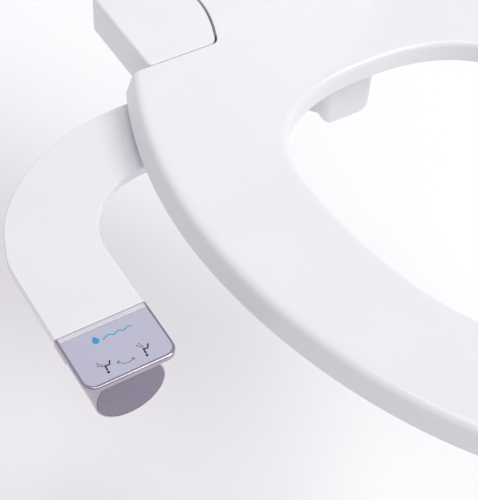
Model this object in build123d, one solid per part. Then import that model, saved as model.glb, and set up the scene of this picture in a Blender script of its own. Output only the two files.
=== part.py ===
from build123d import *
import math
import os

# Bidet seat: a slim water-powered wash attachment with a side arm and a dial, clamped under a
# hinged seat ring and lid. All sizes in mm.
# Frame: origin midway between the two seat bolts, on the underside of the base plate (the face
# that rests on the bowl). +Z up, the front of the seat towards -Y, the control arm towards -X.

# ---- driving dimensions ----
BOLT_SPACING = 140.0
PLATE_T = 7.0
SKIN = 1.4
SEAT_TOP = 33.0
SEAT_LOW = 16.0
WALL = 3.0
RUNNING = 0.05
GAP = 2.0

# seat ring plan: superellipses about two centres on the seat's own line of symmetry
RING_HALF_WIDTH = 191.4
RING_FRONT = 299.9
RING_REAR = 277.0
RING_POWER = 1.91
RING_CENTRE_Y = -169.8
RING_FLARE = 6.0
OPENING_HALF_WIDTH = 108.0
OPENING_REAR = 82.5
OPENING_FRONT = 198.2
OPENING_POWER = 2.31
OPENING_CENTRE_Y = -173.0
SEAT_REAR_Y = -21.0
TONGUE_HALF = 73.5
TONGUE_REAR_Y = 64.0

# hinge line of seat and lid
HINGE_Y = 52.0
HINGE_Z = 20.0
SHAFT_R = 4.0
EAR_R = 12.0
BUSH_R = 6.0
KNUCKLE_HALF = 43.5
EAR_INNER = 45.5
LID_OPEN_DEG = 104.0

# hinge housings, one beside each end of the seat's tongue
HOUSING_OUT_X = 145.0
HOUSING_IN_X = 75.5
HOUSING_FRONT_Y = -19.0
HOUSING_REAR_Y = 72.0
HOUSING_WALL = 2.5

# lid, drawn closed over the seat
LID_LOW = 38.0
LID_TOP = 51.0
LID_DRAFT = 6.0
LID_REAR_Y = 22.0
LID_OVERHANG = 2.0

# arm of the attachment
ARM_OUT_X = -304.6
ARM_IN_X = -242.0
ARM_REAR_Y = -21.5
ARM_FRONT_Y = -84.5
BEND_OUT = (-165.0, -135.0)
BEND_IN = (-182.0, -140.0)
BODY_RIGHT_X = 112.0

# control panel at the end of the arm
PANEL_REAR_Y = -190.0
PANEL_FRONT_Y = -236.0
PANEL_CORNER = 9.0
PANEL_RIM = 2.6
STRIP_W = 4.6

# dial and valve
DIAL_X = -272.3
DIAL_Z = -21.5
DIAL_R = 25.0
DIAL_FACE_Y = -229.0
DIAL_DEPTH = 22.0
STEM_R = 4.0
POD_R = 23.0
POD_REAR_Y = -148.0
INLET_R = 10.48
INLET_LENGTH = 15.0

# nozzle cassette: s runs up the slide line from the mouth of the cassette
MOUTH = Vector(0, -57.5, -35.0)
SLIDE_DEG = 30.0
CASSETTE_LENGTH = 50.0
CASSETTE_W = 42.0
CASSETTE_T = 17.0
NOZZLE_X = 9.5
NOZZLE_R = 4.6
CHAMBER_R = 6.5
GUIDE_LENGTH = 6.0
COLLAR_LOW = 38.0
COLLAR_T = 4.0
TUBE_R = 2.0

# nozzle guard
GUARD_HALF = 24.0
GUARD_FRONT_Y = -74.0
GUARD_LOW = -37.0
GUARD_TOP = 9.5
GUARD_PIN_Y = -69.0
GUARD_PIN_Z = 4.0
GUARD_PIN_R = 1.5

# screws, bumpers
SCREW_R = 1.2
SCREW_HEAD_R = 2.6
SCREW_PLACES = [(-150, -30), (-160, -76), (-225, -45), (-294, -150), (-252, -150), (104, -70), (98, -8)]
BUMPER_PLACES = [(-150, -135, 84), (150, -135, 84), (-112, -385, 42), (112, -385, -42)]
LID_BUMPER_PLACES = [(-150, -150), (150, -150), (-95, -395), (95, -395)]
TUBE_END_Y = -27.0


# ---- helpers ----
def prism(sketch, low, high):
    """A sketch in plan raised from one height to another."""
    return extrude(Pos(0, 0, low) * sketch, amount=high - low)


def slab(x0, x1, y0, y1, z0, z1):
    """A box given by its lowest and highest corners."""
    centre = Pos((x0 + x1) / 2, (y0 + y1) / 2, (z0 + z1) / 2)
    return centre * Box(abs(x1 - x0), abs(y1 - y0), abs(z1 - z0))


def rod_x(radius, x0, x1, y, z):
    """A round bar along X."""
    return Pos((x0 + x1) / 2, y, z) * Rot(0, 90, 0) * Cylinder(radius, abs(x1 - x0))


def rod_y(radius, y0, y1, x, z):
    """A round bar along Y."""
    return Pos(x, (y0 + y1) / 2, z) * Rot(90, 0, 0) * Cylinder(radius, abs(y1 - y0))


def rod_z(radius, z0, z1, x, y):
    """A round bar along Z."""
    return Pos(x, y, (z0 + z1) / 2) * Cylinder(radius, abs(z1 - z0))


def superellipse(half_width, rear, front, power, centre_y, steps=8):
    """Closed oval face whose rear and front halves have their own depths."""
    points = []
    for i in range(4 * steps):
        angle = math.pi / 2 * i / steps
        c, s = math.cos(angle), math.sin(angle)
        depth = rear if s >= 0 else front
        x = math.copysign(half_width * abs(c) ** (2 / power), c)
        y = math.copysign(depth * abs(s) ** (2 / power), s)
        points.append((x, centre_y + y))
    return make_face(Spline(*points, periodic=True))


def ring_oval(grow):
    """Outer plan of the seat ring, grown or shrunk all round."""
    return superellipse(
        RING_HALF_WIDTH + grow, RING_REAR + grow, RING_FRONT + grow, RING_POWER, RING_CENTRE_Y
    )


def opening_oval(grow):
    """Plan of the seat opening, grown or shrunk all round."""
    return superellipse(
        OPENING_HALF_WIDTH + grow,
        OPENING_REAR + grow,
        OPENING_FRONT + grow,
        OPENING_POWER,
        OPENING_CENTRE_Y,
    )


def oval_loft(sections):
    """Solid through ring ovals given as (height, growth) pairs."""
    return loft([Pos(0, 0, height) * ring_oval(grow) for height, grow in sections])


def about_hinge(shape, degrees):
    """A shape swung up about the hinge line."""
    axis = Axis((0, HINGE_Y, HINGE_Z), (-1, 0, 0))
    return shape.rotate(axis, degrees)


def on_slide(shape, x):
    """A shape drawn about +Z with its foot at 0, laid on a nozzle's slide line."""
    return Pos(x, MOUTH.Y, MOUTH.Z) * Rot(-SLIDE_DEG, 0, 0) * shape


# ---- hinge housings, feet, shafts and dampers (left side; the right is its mirror) ----
def housing_plan(grow):
    """Plan of the left housing: square outside, curved where the seat wraps round it."""
    outline = Polyline(
        (-HOUSING_IN_X + grow, 29.0),
        (-HOUSING_IN_X + grow, HOUSING_REAR_Y + grow),
        (-HOUSING_OUT_X - grow, HOUSING_REAR_Y + grow),
        (-HOUSING_OUT_X - grow, HOUSING_FRONT_Y - grow),
        (-88.6 + grow * 0.6, HOUSING_FRONT_Y - grow),
    )
    nose = ThreePointArc(
        (-88.6 + grow * 0.6, HOUSING_FRONT_Y - grow),
        (-80.6 + grow, 4.0),
        (-HOUSING_IN_X + grow, 29.0),
    )
    return make_face(outline + nose)


def hinge_housing():
    shell = prism(housing_plan(0), 0.5, SEAT_TOP)
    soft = shell.edges().filter_by(lambda e: e.center().Z > SEAT_TOP - 0.1)
    shell = fillet(soft, 1.6)
    shell -= prism(housing_plan(-HOUSING_WALL), 0, SEAT_TOP - HOUSING_WALL)
    # cleared over the base plate and its foot, and bored for the hinge shaft
    shell -= slab(-139, -70, -25, 66, 0, 10.6)
    shell -= rod_x(SHAFT_R + 0.15, -90, -70, HINGE_Y, HINGE_Z)
    return shell


def hinge_foot():
    """Bracket under the housing: a lobe for the seat bolt, a pad on the deck, a shaft block."""
    plan = Pos(-108.5, 22) * RectangleRounded(59, 72, 6)
    plan += Pos(-BOLT_SPACING / 2, 0) * Circle(13.5)
    plan += Pos(-75, 0) * Rectangle(12, 27)
    foot = prism(plan, PLATE_T, PLATE_T + 3)
    foot += prism(Pos(-106.5, 40) * RectangleRounded(55, 34, 4), 0, PLATE_T + 1)
    block = slab(-112, -98, HINGE_Y - 10, HINGE_Y + 10, 9, HINGE_Z)
    foot += block + rod_x(10, -112, -98, HINGE_Y, HINGE_Z)
    foot -= rod_x(SHAFT_R, -120, -90, HINGE_Y, HINGE_Z)
    foot -= rod_z(4.6, 5, 12, -BOLT_SPACING / 2, 0)
    return foot


def hinge_shaft():
    return rod_x(SHAFT_R, -126, -23, HINGE_Y, HINGE_Z)


def damper():
    """Soft-close cartridge: a sealed drum of thick grease round the shaft."""
    drum = rod_x(9.5, -96.5, -79, HINGE_Y, HINGE_Z)
    drum += slab(-94, -82, HINGE_Y - 9.5, HINGE_Y + 9.5, 10.3, HINGE_Z)
    drum -= rod_x(SHAFT_R, -100, -76, HINGE_Y, HINGE_Z)
    return drum


def shaft_clip():
    """Snap ring that keeps the shaft in its foot."""
    ring = rod_x(6.5, -114.5, -113, HINGE_Y, HINGE_Z)
    ring -= rod_x(SHAFT_R, -116, -112, HINGE_Y, HINGE_Z)
    ring -= slab(-116, -112, HINGE_Y - 2, HINGE_Y + 2, HINGE_Z - 8, HINGE_Z - 2)
    return ring


# ---- seat bolts and what they hold ----
def mount_bolt():
    x = -BOLT_SPACING / 2
    head = Pos(x, 0, 11) * extrude(RegularPolygon(7.0, 6), amount=4)
    bolt = head + rod_z(4.3, 0.8, 11, x, 0)
    bolt += rod_z(4.0, -34, 0.8, x, 0)
    bolt += rod_z(3.8, -66, -34, x, 0)
    return bolt


def head_washer():
    x = -BOLT_SPACING / 2
    return rod_z(9, 10, 11, x, 0) - rod_z(4.4, 9, 12, x, 0)


def adjuster():
    """Slotted disc in the plate that lets the bolt sit nearer or further from the bowl."""
    x = -BOLT_SPACING / 2
    disc = rod_z(12.7, 1.2, PLATE_T, x, 0)
    slot = Pos(x, 0) * Rot(0, 0, 90) * SlotOverall(19, 9)
    return disc - prism(slot, 0, 9)


def cone_washer():
    """Soft cone pulled up into the bowl's bolt hole from below."""
    x = -BOLT_SPACING / 2
    cone = Pos(x, 0, -41) * Cone(13, 8.5, 10)
    return cone - rod_z(3.9, -50, -30, x, 0)


def mount_nut():
    x = -BOLT_SPACING / 2
    nut = rod_z(9, -58, -47, x, 0)
    nut += slab(x - 22, x + 22, -2.2, 2.2, -58, -48)
    nut += rod_z(13, -47, -46, x, 0)
    return nut - rod_z(3.85, -60, -44, x, 0)


# ---- base plate, top cover and tubes of the attachment ----
def plate_plan(inset=0.0):
    """Plan of the attachment: a band across the bowl that bends forward into the arm."""
    ax, ay = BEND_OUT
    bx, by = BEND_IN
    rear = ARM_REAR_Y - inset
    front = ARM_FRONT_Y + inset
    out_x, in_x = ARM_OUT_X + inset, ARM_IN_X - inset
    end_y = PANEL_REAR_Y + inset
    right = BODY_RIGHT_X - inset
    outline = Polyline(
        (ax, rear),
        (-128, rear),
        (-92, 18 - inset),
        (92, 18 - inset),
        (right, -8),
        (right, -79 + inset),
        (52, -79 + inset),
        (34, -60 + inset),
        (-34, -60 + inset),
        (-52, -79 + inset),
        (-95, -79 + inset),
        (-140, front),
        (bx, front),
    ).edges()
    outline.append(quarter_bend((bx, by), bx - in_x, front - by))
    outline += Polyline((in_x, by), (in_x, end_y), (out_x, end_y), (out_x, ay)).edges()
    outline.append(quarter_bend((ax, ay), ax - out_x, rear - ay))
    return make_face(outline)


def quarter_bend(centre, across, along):
    """Quarter ellipse from straight back of its centre round to straight left of it."""
    cx, cy = centre
    points = []
    for i in range(9):
        angle = math.pi / 2 * i / 8
        points.append((cx - across * math.sin(angle), cy + along * math.cos(angle)))
    return Spline(*points, tangents=[(-1, 0), (0, -1)])


def plate_holes(low, high):
    """The bolt holes and the window for the nozzle cassette."""
    tool = slab(-CASSETTE_W / 2 - 0.6, CASSETTE_W / 2 + 0.6, -70, -19, low, high)
    for side in (-1, 1):
        tool += rod_z(13, low, high, side * BOLT_SPACING / 2, 0)
    return tool


def base_plate():
    """Floor of the attachment, with a landing for the valve at the end of the arm."""
    plate = prism(plate_plan(2.0), 0, SKIN)
    plate += slab(ARM_OUT_X + 4, ARM_IN_X - 4, -204, PANEL_REAR_Y + 3, 0, SKIN)
    plate -= plate_holes(-1, 3)
    # the two tubes drop through here to the valve
    plate -= slab(DIAL_X - 9, DIAL_X + 9, -187, -172, -1, 3)
    for x, y in SCREW_PLACES:
        plate -= Pos(x, y, SKIN / 2) * Cone(SCREW_HEAD_R, SCREW_R, SKIN)
    return plate


def top_cover():
    """Skin of the attachment: flat top and side walls that close on the base plate."""
    cover = prism(plate_plan(), 0, PLATE_T)
    cover -= prism(plate_plan(1.9), -1, PLATE_T - SKIN)
    for side in (-1, 1):
        cover += rod_z(15, SKIN, PLATE_T - SKIN, side * BOLT_SPACING / 2, 0)
    for x, y in SCREW_PLACES:
        cover += rod_z(3.2, SKIN, PLATE_T - SKIN, x, y)
        cover -= rod_z(SCREW_R, SKIN - 0.5, PLATE_T - SKIN - 0.4, x, y)
    # notched at the end of the arm for the landing of the base plate
    cover -= slab(ARM_OUT_X + 3.8, ARM_IN_X - 3.8, -192, -187, -1, SKIN + 0.1)
    return cover - plate_holes(-2, 9)


def cover_screws():
    """Countersunk screws driven up from below."""
    screws = []
    for x, y in SCREW_PLACES:
        screw = Pos(x, y, SKIN / 2) * Cone(SCREW_HEAD_R, SCREW_R, SKIN)
        screw += rod_z(SCREW_R, SKIN / 2, PLATE_T - SKIN - 0.8, x, y)
        screw -= slab(x - 2, x + 2, y - 0.3, y + 0.3, -0.1, 0.5)
        screws.append(screw)
    return Compound(children=screws)


def tube(lane, target_x, turn_y):
    """Water tube from the valve, along the arm and into the back of its nozzle's chamber."""
    height = SKIN + TUBE_R + 0.1
    x = DIAL_X - lane
    points = [
        (x, -180, -9),
        (x, -180, height),
        (x, -130, height),
        (x + 22 - lane, -78 + lane, height),
        (-200, -50 + lane, height),
        (-54 - lane * 1.2, -50 + lane, height),
        (-32 - lane * 0.8, turn_y, height),
        (target_x, turn_y, height),
        (target_x, TUBE_END_Y, height),
    ]
    path = FilletPolyline(*points, radius=[5, 40, 45, 45, 12, 6, 5])
    start = Plane(origin=points[0], z_dir=(0, 0, 1))
    return sweep(start * Circle(TUBE_R), path=path)


# ---- control panel ----
def panel_plan(inset, front_inset, rear_y, corner):
    """Plan of the panel: square at the rear, round at the two front corners."""
    x0, x1 = ARM_OUT_X - 0.2 + inset, ARM_IN_X + 1.2 - inset
    y0 = PANEL_FRONT_Y + front_inset
    face = Pos((x0 + x1) / 2, (y0 + rear_y) / 2) * Rectangle(x1 - x0, rear_y - y0)
    front = face.vertices().sort_by(Axis.Y)[:2]
    return fillet(front, corner)


def panel_bezel():
    """Chrome frame that caps the arm's end and overhangs the dial."""
    bezel = prism(panel_plan(0, 0, PANEL_REAR_Y, PANEL_CORNER), 0, PLATE_T)
    rim = bezel.edges().filter_by(lambda e: e.center().Z > PLATE_T - 0.1)
    rim = rim.filter_by(lambda e: e.center().Y < PANEL_REAR_Y - 0.5)
    bezel = fillet(rim, 1.3)
    bezel -= prism(panel_plan(2.2, 2.2, PANEL_REAR_Y + 5, 7), -1, 4.4)
    return bezel - prism(panel_plan(1.5, PANEL_RIM, PANEL_REAR_Y + 5, 7), 5.4, 9)


def panel_face():
    rear = PANEL_REAR_Y - STRIP_W - 0.5
    return prism(panel_plan(1.6, PANEL_RIM + 0.1, rear, 6.9), 5.4, 6.8)


def panel_strip():
    x0, x1 = ARM_OUT_X + 1.4, ARM_IN_X - 0.4
    strip = slab(x0, x1, PANEL_REAR_Y - STRIP_W, PANEL_REAR_Y - 0.4, 5.4, PLATE_T)
    return chamfer(strip.edges().group_by(Axis.Z)[-1], 0.4)


# ---- dial and valve ----
def on_dial(radius, y0, y1):
    return rod_y(radius, y0, y1, DIAL_X, DIAL_Z)


def dial_knob():
    back = DIAL_FACE_Y + DIAL_DEPTH
    knob = on_dial(DIAL_R, DIAL_FACE_Y + 0.3, back)
    knob = chamfer(knob.edges().group_by(Axis.Y)[0], 0.8)
    knob -= on_dial(DIAL_R - 2.5, DIAL_FACE_Y + 4, back + 1)
    knob += on_dial(8, DIAL_FACE_Y + 3, back)
    knob -= on_dial(STEM_R, DIAL_FACE_Y + 7, back + 1)
    return knob - on_dial(DIAL_R - 1.2, DIAL_FACE_Y - 1, DIAL_FACE_Y + 1.8)


def dial_face():
    return on_dial(DIAL_R - 1.3, DIAL_FACE_Y, DIAL_FACE_Y + 1.8)


def valve_stem():
    stem = on_dial(STEM_R, DIAL_FACE_Y + 7, -196)
    stem += on_dial(10, -199.5, -192.1)
    return stem


def ceramic_disc(y0, y1, radius, ports):
    disc = on_dial(radius, y0, y1)
    for angle in ports:
        x = DIAL_X + 6 * math.cos(math.radians(angle))
        z = DIAL_Z + 6 * math.sin(math.radians(angle))
        disc -= rod_y(2.2, y0 - 1, y1 + 1, x, z)
    return disc


def valve_bonnet():
    bonnet = on_dial(14.9, -206, -200)
    bonnet -= on_dial(STEM_R + RUNNING, -207, -199)
    return bonnet - on_dial(6.6, -204.4, -201.6)


def stem_seal():
    return Pos(DIAL_X, -203, DIAL_Z) * Rot(90, 0, 0) * Torus(5.3, 1.2)


def valve_body():
    body = on_dial(15, -200, -152)
    body -= on_dial(12, -201, -184)
    body += on_dial(INLET_R + 3, -152, -149)
    body += on_dial(INLET_R, -149, -149 + 1 + INLET_LENGTH)
    body -= on_dial(6, -185, -100)
    for lane in (-5, 5):
        x = DIAL_X + lane
        body += rod_z(3.8, DIAL_Z + 10, -1.0, x, -180)
        body -= rod_z(TUBE_R, -9, 0, x, -180)
    return body - on_dial(12, -201, -184)


def inlet_filter():
    """Cup of fine mesh that keeps grit out of the valve."""
    cup = on_dial(5.9, -150, -136)
    return cup - on_dial(5.1, -149, -130)


def check_valve():
    """Spring-loaded cartridge that stops water running back."""
    return on_dial(5.9, -166, -152) - on_dial(3.0, -167, -151)


def pod_plan(radius):
    tunnel = Circle(radius) + Pos(0, -DIAL_Z / 2) * Rectangle(2 * radius, -DIAL_Z)
    return Pos(DIAL_X, 0, DIAL_Z) * Rot(90, 0, 0) * tunnel


def valve_cover():
    """U-shaped shell round the valve, closed above by the base plate."""
    front, rear = -205.5, POD_REAR_Y
    shell = extrude(Pos(0, rear, 0) * pod_plan(POD_R), amount=rear - front)
    shell -= extrude(Pos(0, rear - 2, 0) * pod_plan(POD_R - 2), amount=rear - front - 4)
    shell -= on_dial(15.3, front - 1, front + 3)
    shell -= on_dial(INLET_R + 3.4, rear - 5, rear + 1)
    return shell - slab(DIAL_X - 30, DIAL_X + 30, front - 1, rear + 1, 0, 5)


# ---- nozzle cassette, nozzles, springs and guard ----
def cassette():
    block = on_slide(Pos(0, 0, CASSETTE_LENGTH / 2) * Box(CASSETTE_W, CASSETTE_T, CASSETTE_LENGTH), 0)
    block += slab(-27, 27, -58, -12, PLATE_T, PLATE_T + 2)
    for side in (-1, 1):
        inner, outer = side * 10.5, side * 15
        block += slab(inner, outer, GUARD_PIN_Y, -45, GUARD_PIN_Z - 2.2, GUARD_PIN_Z + 2.2)
        block += rod_x(2.2, inner, outer, GUARD_PIN_Y, GUARD_PIN_Z)
        x = side * NOZZLE_X
        block -= on_slide(rod_z(NOZZLE_R + 0.08, -2, GUIDE_LENGTH + 1, 0, 0), x)
        block -= on_slide(rod_z(CHAMBER_R, GUIDE_LENGTH, CASSETTE_LENGTH - 4, 0, 0), x)
        height = SKIN + TUBE_R + 0.1
        block -= rod_y(TUBE_R, TUBE_END_Y - 4, -20, x, height)
    block -= slab(-16, 16, -24, -18, PLATE_T - 7, PLATE_T - 0.8)
    return block - rod_x(GUARD_PIN_R, -30, 30, GUARD_PIN_Y, GUARD_PIN_Z)


def nozzle(x):
    shaft = rod_z(NOZZLE_R, 4, COLLAR_LOW + COLLAR_T, 0, 0)
    shaft += rod_z(CHAMBER_R - 0.08, COLLAR_LOW, COLLAR_LOW + COLLAR_T, 0, 0)
    shaft -= rod_z(1.8, -4, 60, 0, 0)
    return on_slide(shaft, x)


def nozzle_tip(x, spray_deg):
    """Snap-on tip with its spray hole on the front."""
    tip = rod_z(NOZZLE_R, -2, 4, 0, 0)
    tip = fillet(tip.edges().group_by(Axis.Z)[0], 1.8)
    tip -= rod_z(1.8, 0.6, 5, 0, 0)
    spray = Pos(0, 0, 6) * Cylinder(0.8, 12)
    return on_slide(tip - Pos(0, 0, 2) * Rot(90 + spray_deg, 0, 0) * spray, x)


def return_spring(x):
    wire, low, high = 0.45, GUIDE_LENGTH + 0.6, COLLAR_LOW - 0.6
    coil_r = (NOZZLE_R + CHAMBER_R) / 2
    path = Helix(pitch=3.6, height=high - low, radius=coil_r)
    ring = Plane(origin=path @ 0, z_dir=path % 0) * Circle(wire)
    coil = sweep(ring, path=path, is_frenet=True)
    return on_slide(Pos(0, 0, low) * coil, x)


def guard():
    """Splash gate that hangs in front of the nozzles on its own pin."""
    rear_y = -62.0
    depth, centre_y = rear_y - GUARD_FRONT_Y, (rear_y + GUARD_FRONT_Y) / 2
    plan = Pos(0, centre_y) * Rectangle(2 * GUARD_HALF, depth)
    outer = fillet(plan.vertices().sort_by(Axis.Y)[:2], 8)
    core = Pos(0, centre_y + 2.4) * Rectangle(2 * GUARD_HALF - 4.4, depth)
    inner = fillet(core.vertices().sort_by(Axis.Y)[:2], 5.8)
    gate = prism(outer - inner, GUARD_LOW, GUARD_TOP)
    front_view = Polyline(
        (-GUARD_HALF, GUARD_TOP),
        (GUARD_HALF, GUARD_TOP),
        (22, GUARD_LOW),
        (-22, GUARD_LOW),
        close=True,
    )
    face = Plane.XZ * make_face(front_view)
    feet = face.vertices().sort_by(Axis.Z)[:2]
    gate &= extrude(Pos(0, -50, 0) * fillet(feet, 11), amount=40)
    # the sides are cut back where they pass in front of the base plate
    gate -= slab(-30, 30, -66, -50, -3, 20)
    for side in (-1, 1):
        inner_x, outer_x = side * 15.4, side * 19
        low, high = GUARD_PIN_Z - 2.6, GUARD_PIN_Z + 2.6
        gate += rod_x(2.6, inner_x, outer_x, GUARD_PIN_Y, GUARD_PIN_Z)
        gate += slab(inner_x, outer_x, GUARD_FRONT_Y + 1, GUARD_PIN_Y, low, high)
        gate -= rod_x(GUARD_PIN_R + 0.06, inner_x, outer_x, GUARD_PIN_Y, GUARD_PIN_Z)
    return gate


# ---- seat ring ----
def seat_rear_cut(margin):
    """What is taken away behind the ring: the housings' room and all beyond them."""
    tool = prism(housing_plan(GAP + margin), 0, 60)
    tool += slab(-300, -100, SEAT_REAR_Y - margin, 200, 0, 60)
    return tool + mirror(tool, Plane.YZ)


def seat_shell():
    shell = oval_loft([(SEAT_LOW, RING_FLARE), (SEAT_TOP, 0)])
    shell -= prism(opening_oval(0), 0, 60)
    shell -= slab(-300, 300, TONGUE_REAR_Y, 400, 0, 60)
    shell -= seat_rear_cut(0)
    shell -= seat_cavity(0, SEAT_LOW - 1, SEAT_TOP - WALL)
    shell -= slab(-EAR_INNER, EAR_INNER, 38, 100, 0, 60)
    for x0, x1 in ((-TONGUE_HALF, -EAR_INNER), (EAR_INNER, TONGUE_HALF)):
        shell += rod_x(EAR_R, x0, x1, HINGE_Y, HINGE_Z)
        shell -= rod_x(BUSH_R, x0, x1, HINGE_Y, HINGE_Z)
    return shell


def seat_cavity(margin, low, high):
    """Hollow inside the ring, open below."""
    grow = -WALL - margin
    cavity = oval_loft([(low, RING_FLARE + grow), (high, grow)])
    cavity -= prism(opening_oval(-grow), 0, 60)
    cavity -= slab(-300, 300, 32 - margin, 400, 0, 60)
    return cavity - seat_rear_cut(-grow)


def seat_base():
    """Floor welded into the ring's hollow."""
    low, high = SEAT_LOW + 0.5, SEAT_LOW + 3
    grow = -WALL - 0.2
    floor = prism(ring_oval(RING_FLARE - 1.8 + grow), low, high)
    floor -= prism(opening_oval(-grow), 0, 60)
    floor -= slab(-300, 300, 31.8, 400, 0, 60)
    return floor - seat_rear_cut(-grow)


def seat_bush(side):
    bush = rod_x(BUSH_R, side * EAR_INNER, side * TONGUE_HALF, HINGE_Y, HINGE_Z)
    return bush - rod_x(SHAFT_R + RUNNING, side * 40, side * 80, HINGE_Y, HINGE_Z)


def seat_bumpers():
    """Soft feet that keep the ring level over the bowl."""
    pad = RectangleRounded(34, 13, 5)
    feet = [
        prism(Pos(x, y) * Rot(0, 0, turn) * pad, 0, SEAT_LOW + 0.5) for x, y, turn in BUMPER_PLACES
    ]
    return Compound(children=feet)


# ---- lid, drawn closed and then swung up ----
def lid_shell():
    over = LID_OVERHANG
    shell = oval_loft([(LID_LOW, over), (LID_TOP, over - LID_DRAFT)])
    shell -= slab(-300, 300, LID_REAR_Y, 400, 0, 80)
    hollow = oval_loft([(LID_LOW - 1, over - WALL), (LID_TOP - WALL, over - LID_DRAFT - WALL)])
    hollow -= slab(-300, 300, LID_REAR_Y - WALL, 400, 0, 80)
    return about_hinge(shell - hollow, LID_OPEN_DEG)


def lid_arm():
    """Knuckle on the hinge line with a web that carries the lid."""
    side = Polyline(
        (LID_REAR_Y, 38.5),
        (LID_REAR_Y, 47),
        (46, 42),
        (61, 27),
        (52, 20),
        (42.5, 24),
        (39.6, 36),
        close=True,
    )
    web = extrude(Plane.YZ * make_face(side), amount=38, both=True)
    arm = web + rod_x(11.5, -KNUCKLE_HALF, KNUCKLE_HALF, HINGE_Y, HINGE_Z)
    arm -= rod_x(SHAFT_R + RUNNING, -50, 50, HINGE_Y, HINGE_Z)
    return about_hinge(arm, LID_OPEN_DEG)


def lid_bumpers():
    buttons = [rod_z(7, SEAT_TOP + 0.3, LID_TOP - 3, x, y) for x, y in LID_BUMPER_PLACES]
    return Compound(children=[about_hinge(button, LID_OPEN_DEG) for button in buttons])


# ---- nodes ----
def left_and_right(name, make):
    """A left piece and its mirror image as two nodes."""
    shape = make()
    return {f"{name}_left": shape, f"{name}_right": mirror(shape, Plane.YZ)}


parts = {}
parts |= left_and_right("hinge_housing", hinge_housing)
parts |= left_and_right("hinge_foot", hinge_foot)
parts |= left_and_right("hinge_shaft", hinge_shaft)
parts |= left_and_right("damper", damper)
parts |= left_and_right("shaft_clip", shaft_clip)
parts |= left_and_right("mount_bolt", mount_bolt)
parts |= left_and_right("head_washer", head_washer)
parts |= left_and_right("adjuster", adjuster)
parts |= left_and_right("cone_washer", cone_washer)
parts |= left_and_right("mount_nut", mount_nut)
parts |= {
    "base_plate": base_plate(),
    "top_cover": top_cover(),
    "cover_screws": cover_screws(),
    "tube_rear": tube(-5, -NOZZLE_X, -12),
    "tube_front": tube(5, NOZZLE_X, -3),
    "panel_bezel": panel_bezel(),
    "panel_face": panel_face(),
    "panel_strip": panel_strip(),
    "valve_cover": valve_cover(),
    "valve_body": valve_body(),
    "valve_bonnet": valve_bonnet(),
    "stem_seal": stem_seal(),
    "inlet_filter": inlet_filter(),
    "check_valve": check_valve(),
    "disc_fixed": ceramic_disc(-188, -184.2, 11.9, (0, 180)),
    "disc_turning": ceramic_disc(-192, -188.05, 11.5, (90,)),
    "valve_stem": valve_stem(),
    "dial_knob": dial_knob(),
    "dial_face": dial_face(),
    "nozzle_cassette": cassette(),
    "nozzle_rear": nozzle(-NOZZLE_X),
    "nozzle_rear_tip": nozzle_tip(-NOZZLE_X, 12),
    "nozzle_front": nozzle(NOZZLE_X),
    "nozzle_front_tip": nozzle_tip(NOZZLE_X, -8),
    "spring_rear": return_spring(-NOZZLE_X),
    "spring_front": return_spring(NOZZLE_X),
    "nozzle_guard": guard(),
    "guard_pin": rod_x(GUARD_PIN_R, -19, 19, GUARD_PIN_Y, GUARD_PIN_Z),
    "seat_shell": seat_shell(),
    "seat_base": seat_base(),
    "seat_bush_left": seat_bush(-1),
    "seat_bush_right": seat_bush(1),
    "seat_bumpers": seat_bumpers(),
    "lid_shell": lid_shell(),
    "lid_arm": lid_arm(),
    "lid_bumpers": lid_bumpers(),
}

os.makedirs("parts", exist_ok=True)
for name, shape in parts.items():
    export_step(shape, f"parts/{name}.step")
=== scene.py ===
import math

import bpy
from mathutils import Matrix, Vector


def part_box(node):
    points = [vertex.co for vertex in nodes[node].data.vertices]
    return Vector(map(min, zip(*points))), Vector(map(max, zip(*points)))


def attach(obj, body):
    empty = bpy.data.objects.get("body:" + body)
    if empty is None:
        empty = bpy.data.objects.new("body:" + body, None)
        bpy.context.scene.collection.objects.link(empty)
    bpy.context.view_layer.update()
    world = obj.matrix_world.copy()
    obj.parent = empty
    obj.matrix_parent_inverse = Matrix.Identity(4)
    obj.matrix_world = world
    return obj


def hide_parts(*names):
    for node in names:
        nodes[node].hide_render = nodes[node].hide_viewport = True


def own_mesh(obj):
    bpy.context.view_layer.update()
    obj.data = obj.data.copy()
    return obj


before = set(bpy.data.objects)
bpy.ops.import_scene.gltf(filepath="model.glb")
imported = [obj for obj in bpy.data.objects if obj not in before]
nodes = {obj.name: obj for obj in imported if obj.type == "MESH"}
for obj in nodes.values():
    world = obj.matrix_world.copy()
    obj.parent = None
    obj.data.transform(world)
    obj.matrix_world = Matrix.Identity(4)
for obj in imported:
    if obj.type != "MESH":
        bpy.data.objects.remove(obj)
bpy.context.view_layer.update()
mm = 0.001


# ---------------------------------------------------------------------------------------------
# Seat ring: one moulded white polypropylene shell with a soft rim outside, a tighter radius round
# the opening, and its rear cut back for the hinge housings. Its floor is a plate welded in.
# ---------------------------------------------------------------------------------------------
def only(piece):
    """Make the piece the one selected and active object."""
    bpy.ops.object.select_all(action="DESELECT")
    piece.select_set(True)
    bpy.context.view_layer.objects.active = piece


def merged_copy(node, name):
    """A copy of a CAD node as one closed surface, with its flat faces joined up, to be finished."""
    piece = nodes[node].copy()
    piece.data = nodes[node].data.copy()
    piece.name = name
    piece.data.name = name
    piece.parent = None
    for key in list(piece.keys()):
        del piece[key]
    bpy.context.scene.collection.objects.link(piece)
    only(piece)
    bpy.ops.mesh.customdata_custom_splitnormals_clear()
    bpy.ops.object.mode_set(mode="EDIT")
    bpy.ops.mesh.select_all(action="SELECT")
    bpy.ops.mesh.remove_doubles(threshold=0.002 * mm)
    bpy.ops.mesh.dissolve_limited(angle_limit=math.radians(0.3))
    bpy.ops.object.mode_set(mode="OBJECT")
    return piece


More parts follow.
